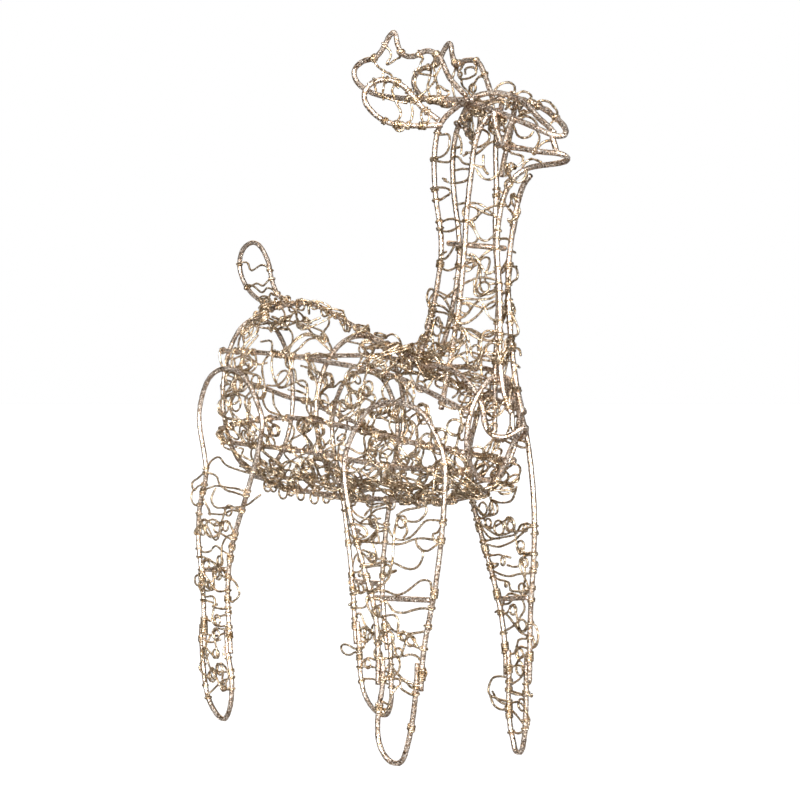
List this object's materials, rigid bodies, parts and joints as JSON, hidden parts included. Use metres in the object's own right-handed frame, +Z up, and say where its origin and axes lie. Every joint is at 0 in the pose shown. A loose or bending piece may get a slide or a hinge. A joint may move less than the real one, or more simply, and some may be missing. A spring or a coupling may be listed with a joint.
{
  "type": "reindeer decoration",
  "caption": "Standing wire reindeer with raised head, antlers, ears and looped tail: a welded frame of thick wire with thin curly wire laid over it.",
  "frame": {"origin": "on the floor under the middle of the bounding box", "axes": "+X towards the nose, +Y to the animal's left, +Z up"},
  "size_m": [0.32, 0.1022, 0.4504],
  "materials": {
    "frame_wire": "champagne glitter",
    "scroll_wire": "champagne glitter"
  },
  "bodies": {
    "root": {"antler_left": "frame_wire", "antler_right": "frame_wire", "antler_scroll_left": "scroll_wire", "antler_scroll_right": "scroll_wire", "belly_wire": "frame_wire", "cheek_wire_left": "frame_wire", "cheek_wire_right": "frame_wire", "chest_hoop": "frame_wire", "collar": "frame_wire", "ear_loop_left": "frame_wire", "ear_loop_right": "frame_wire", "ear_scroll_left": "scroll_wire", "ear_scroll_right": "scroll_wire", "flank_scroll_front_left": "scroll_wire", "flank_scroll_front_right": "scroll_wire", "flank_scroll_rear_left": "scroll_wire", "flank_scroll_rear_right": "scroll_wire", "front_left_leg_arch": "frame_wire", "front_left_leg_foot": "frame_wire", "front_left_leg_knee_bar": "frame_wire", "front_left_leg_scroll": "scroll_wire", "front_right_leg_arch": "frame_wire", "front_right_leg_foot": "frame_wire", "front_right_leg_knee_bar": "frame_wire", "front_right_leg_scroll": "scroll_wire", "jaw_and_throat_wire": "frame_wire", "jaw_strut": "frame_wire", "lower_side_wire_right": "frame_wire", "middle_hoop": "frame_wire", "middle_side_wire_left": "frame_wire", "middle_side_wire_right": "frame_wire", "nape_and_nose_wire": "frame_wire", "neck_ring": "frame_wire", "neck_scroll_lower_left": "scroll_wire", "neck_scroll_lower_right": "scroll_wire", "neck_scroll_upper_left": "scroll_wire", "neck_scroll_upper_right": "scroll_wire", "neck_side_wire_left": "frame_wire", "neck_side_wire_right": "frame_wire", "nose_ridge_wire": "frame_wire", "rear_left_leg_arch": "frame_wire", "rear_left_leg_foot": "frame_wire", "rear_left_leg_knee_bar": "frame_wire", "rear_left_leg_scroll": "scroll_wire", "rear_right_leg_arch": "frame_wire", "rear_right_leg_foot": "frame_wire", "rear_right_leg_knee_bar": "frame_wire", "rear_right_leg_scroll": "scroll_wire", "rump_hoop": "frame_wire", "spine_wire": "frame_wire", "tail_loop": "frame_wire", "tail_scroll": "scroll_wire", "throat_wire_left": "frame_wire", "upper_side_wire_left": "frame_wire", "upper_side_wire_right": "frame_wire"}
  },
  "joints": []
}
